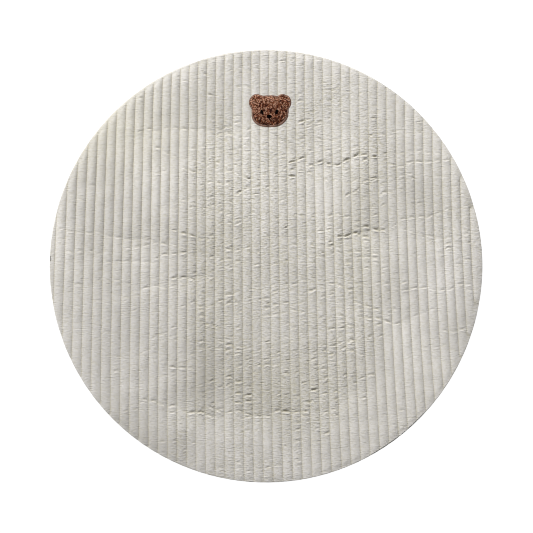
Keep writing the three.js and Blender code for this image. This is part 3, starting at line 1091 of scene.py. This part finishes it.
# Boucle yarn, a soft spun acrylic: warm mid brown, each loop a little lighter or darker than the next,
# fuzzy, so it catches a pale rim of light. Its fuzz is drawn at 0.7 mm, far coarser than a real fibre.
PILE_DARK = "#34130A"
PILE_BROWN = "#AC6443"
PILE_LIGHT = "#F2BE9F"
PILE_RIM_LIGHT = "#E8C4A8"
FUZZ = 0.7 * MM
boucle, node, place = new_material("boucle_yarn")
tone = node("Attribute", attribute_name="tone").outputs["Fac"]
ramp = node("ValToRGB", {0: tone})
ramp.color_ramp.elements[0].color = linear(PILE_DARK)
ramp.color_ramp.elements[1].color = linear(PILE_LIGHT)
ramp.color_ramp.elements.new(0.5).color = linear(PILE_BROWN)
fuzz = node("TexNoise", {"Vector": place, "Scale": 1 / FUZZ, "Detail": 2})
bump = node("Bump", {"Strength": 0.7, "Distance": 0.3 * MM, "Height": fuzz})
gloss = {"Roughness": 0.88, "IOR": 1.49, "Specular IOR Level": 0.3}
sheen = {"Sheen Weight": 0.06, "Sheen Roughness": 0.4, "Sheen Tint": linear(PILE_RIM_LIGHT)}
surface = node("BsdfPrincipled", {"Base Color": ramp, "Normal": bump, **gloss, **sheen})
node("OutputMaterial", {"Surface": surface})
pile.data.materials.append(boucle)
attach(pile, "root")

# The patch's sewn border. Brown embroidery thread is oversewn round the edge in close stitches,
# 3.5 to 7 mm wide, from the pile over the raw edge and down into the cover, which holds the patch on.
BORDER_PITCH = 0.95
BORDER_RISE = 0.75
BORDER_THREAD = 0.3
BORDER_FLATTENED = 2.1
BORDER_RAGGED = (0.45, 0.35)
BORDER_SUNK = 0.15
BORDER_VARIETY = 0.5
BORDER_PALER_BELOW = 0.35

fine = np.linspace(0, 2 * np.pi, 4001)
travelled = np.concatenate([[0], np.cumsum(np.hypot(*np.diff(outline_points(fine), axis=0).T))])
count = round(travelled[-1] / BORDER_PITCH)
at = (np.arange(count) + draw.uniform(-0.15, 0.15, count)) * travelled[-1] / count
angle = np.interp(at, travelled, fine)
on_rim = outline_points(angle)
beside = [np.interp(at + off, travelled, fine, period=travelled[-1]) for off in (1.5, -1.5)]
tangent = outline_points(beside[0]) - outline_points(beside[1])
tangent /= np.hypot(*tangent.T)[:, None]
outward = np.stack([tangent[:, 1], -tangent[:, 0]], axis=1)
middle = np.array([PATCH_X, PATCH_Y])
ragged_in, ragged_out = [draw.uniform(-most, most, count) for most in BORDER_RAGGED]
inner = on_rim - outward * (border_reach(BORDER_INSIDE, angle) + ragged_in)[:, None]
outer = on_rim + outward * (border_reach(BORDER_OUTSIDE, angle) + ragged_out)[:, None]
inner_angle = np.arctan2(inner[:, 1], inner[:, 0])
inner_share = np.hypot(*inner.T) / outline_reach(inner_angle)
inner_z = patch_surface(inner_angle, inner_share, True)[:, 2]
outer_z = cover_below(*(outer + middle).T) - BORDER_SUNK
low = np.column_stack([inner + middle, inner_z])
high = np.column_stack([outer + middle, outer_z])
run = (high - low) / 2
along = np.column_stack([tangent, np.zeros(count)])
up = np.tile((0, 0, BORDER_RISE), (count, 1))
places = np.stack([run, along * BORDER_FLATTENED, up, (low + high) / 2], axis=1)
one_wrap = yarn_arch(5, BORDER_THREAD)
shade = BORDER_VARIETY * draw.random(count) + BORDER_PALER_BELOW * ease(-0.2 - 1.2 * np.sin(angle))
border = lay_copies("bear_sewn_border", one_wrap, places, shade)

# Rayon embroidery thread, brown: smoother and glossier than the pile, a shade greyer. Its strands are
# drawn at 0.5 mm, a few times coarser than real.
BORDER_BROWN = "#573625"
BORDER_LIGHT = "#A88470"


def rayon_thread(name, dark, light, strand, relief, gloss):
    """Embroidery thread spun of fine glossy strands, each copy between its dark and its light shade."""
    material, node, place = new_material(name)
    tone = node("Attribute", attribute_name="tone").outputs["Fac"]
    shades = {0: tone, 6: linear(dark), 7: linear(light)}
    colour = node("Mix", shades, data_type="RGBA").outputs[2]
    strands = node("TexNoise", {"Vector": place, "Scale": 1 / strand, "Detail": 2})
    bump = node("Bump", {"Height": strands, **relief})
    surface = node("BsdfPrincipled", {"Base Color": colour, "Normal": bump, **gloss})
    node("OutputMaterial", {"Surface": surface})
    return material


brown_thread = rayon_thread(
    "brown_rayon_thread",
    BORDER_BROWN,
    BORDER_LIGHT,
    strand=0.5 * MM,
    relief={"Strength": 0.5, "Distance": 0.12 * MM},
    gloss={"Roughness": 0.5, "IOR": 1.53, "Sheen Weight": 0.15},
)
border.data.materials.append(brown_thread)
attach(border, "root")

# The eyes and the nose. Black rayon thread in satin stitch is laid side by side across each oval, in
# a low pad that stands a little above the pile.
SATIN_PITCH = 0.52
SATIN_THREAD = 0.08
SATIN_FLATTENED = 3.6
SATIN_LOWEST = 0.45
SATIN_SLANT = 0.12
SATIN_RAGGED = 0.15
SATIN_FOOT = 11.8
SATIN_TOP = 13.9

# Rayon embroidery thread, black: packed so close that it hardly shines. Its strands are drawn at 0.4 mm.
SATIN_BLACK = "#020101"
SATIN_BLACK_LIT = "#060404"
black_thread = rayon_thread(
    "black_rayon_thread",
    SATIN_BLACK,
    SATIN_BLACK_LIT,
    strand=0.4 * MM,
    relief={"Strength": 0.4, "Distance": 0.1 * MM},
    gloss={"Roughness": 0.75, "IOR": 1.5, "Specular IOR Level": 0.03},
)

for name, centre, half, tilt in OVALS:
    across_axis = np.array([math.cos(tilt), math.sin(tilt), 0])
    along_axis = np.array([-math.sin(tilt), math.cos(tilt), 0])
    count = round(2 * half[1] / SATIN_PITCH)
    places = []
    for i in range(count):
        t = -1 + 2 * (i + 0.5) / count
        chord = half[0] * math.sqrt(1 - t * t)
        height = (SATIN_TOP - SATIN_FOOT) * blend(SATIN_LOWEST, 1, math.sqrt(1 - t * t))
        origin = np.array([*centre, SATIN_FOOT]) + along_axis * t * half[1]
        slant = along_axis * draw.uniform(-SATIN_SLANT, SATIN_SLANT)
        run = across_axis * (chord + draw.uniform(-SATIN_RAGGED, SATIN_RAGGED)) + slant
        up = np.array([0, 0, height])
        outside = 1 + SATIN_THREAD
        places.append([run / outside, along_axis * SATIN_FLATTENED, up / outside, origin])
    one_satin = yarn_arch(8, SATIN_THREAD)
    satin = lay_copies(name + "_satin", one_satin, places, draw.random(count))
    satin.data.materials.append(black_thread)
    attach(satin, "root")
    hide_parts(name)

# The stage: a plain pale floor, and soft studio light from a large lamp high at the picture's upper
# left, with the walls' own light round it.
bpy.ops.mesh.primitive_plane_add(size=14, location=(0, 0, -0.0004))
bpy.ops.object.transform_apply(location=True)
floor = bpy.context.object
floor.name = "studio_floor"

# Matt white paint, lit so evenly that it stays plain white right up to the mat. Its own colour is low,
# so that it throws no more light on the mat's rim.
FLOOR_GREY = "#3E3E3E"
FLOOR_GREY_LIT = "#424241"
paint, node, place = new_material("matt_white_paint")
mottle = node("TexNoise", {"Vector": place, "Scale": 3, "Detail": 2})
shades = {0: mottle, 6: linear(FLOOR_GREY), 7: linear(FLOOR_GREY_LIT)}
colour = node("Mix", shades, data_type="RGBA").outputs[2]
glow = {"Roughness": 0.9, "Emission Color": linear("#FFFFFF"), "Emission Strength": 1.0}
surface = node("BsdfPrincipled", {"Base Color": colour, **glow})
node("OutputMaterial", {"Surface": surface})
floor.data.materials.append(paint)

KEY_PLACE = Vector((-3.4, 7.6, 6.1))
key = bpy.data.lights.new("key_lamp", "AREA")
key.shape = "DISK"
key.size = 1.9
key.energy = 1400
key.color = linear("#FFFDFA")[:3]
key_lamp = bpy.data.objects.new("key_lamp", key)
key_lamp.location = KEY_PLACE
key_lamp.rotation_euler = (-KEY_PLACE).to_track_quat("-Z", "Y").to_euler()
bpy.context.collection.objects.link(key_lamp)

room = bpy.data.worlds.new("studio_room")
room.use_nodes = True
walls = room.node_tree.nodes["Background"].inputs
walls["Color"].default_value = linear("#FDFDFF")
walls["Strength"].default_value = 0.245
scene = bpy.context.scene
scene.world = room
scene.view_settings.view_transform = "Standard"
scene.cycles.filter_width = 1.0

# The camera looks straight down. The picture is 1.4785 m wide at the height of the mat's rim.
VIEW_WIDTH = 1.4785
VIEW_CENTRE = (0.0014, -0.0007)
VIEW_HEIGHT = 0.005
view = bpy.data.cameras.new("camera_above")
view.sensor_width = 36
view.lens = 60
camera = bpy.data.objects.new("camera_above", view)
camera.location = (*VIEW_CENTRE, VIEW_HEIGHT + VIEW_WIDTH * view.lens / view.sensor_width)
bpy.context.collection.objects.link(camera)
scene.camera = camera
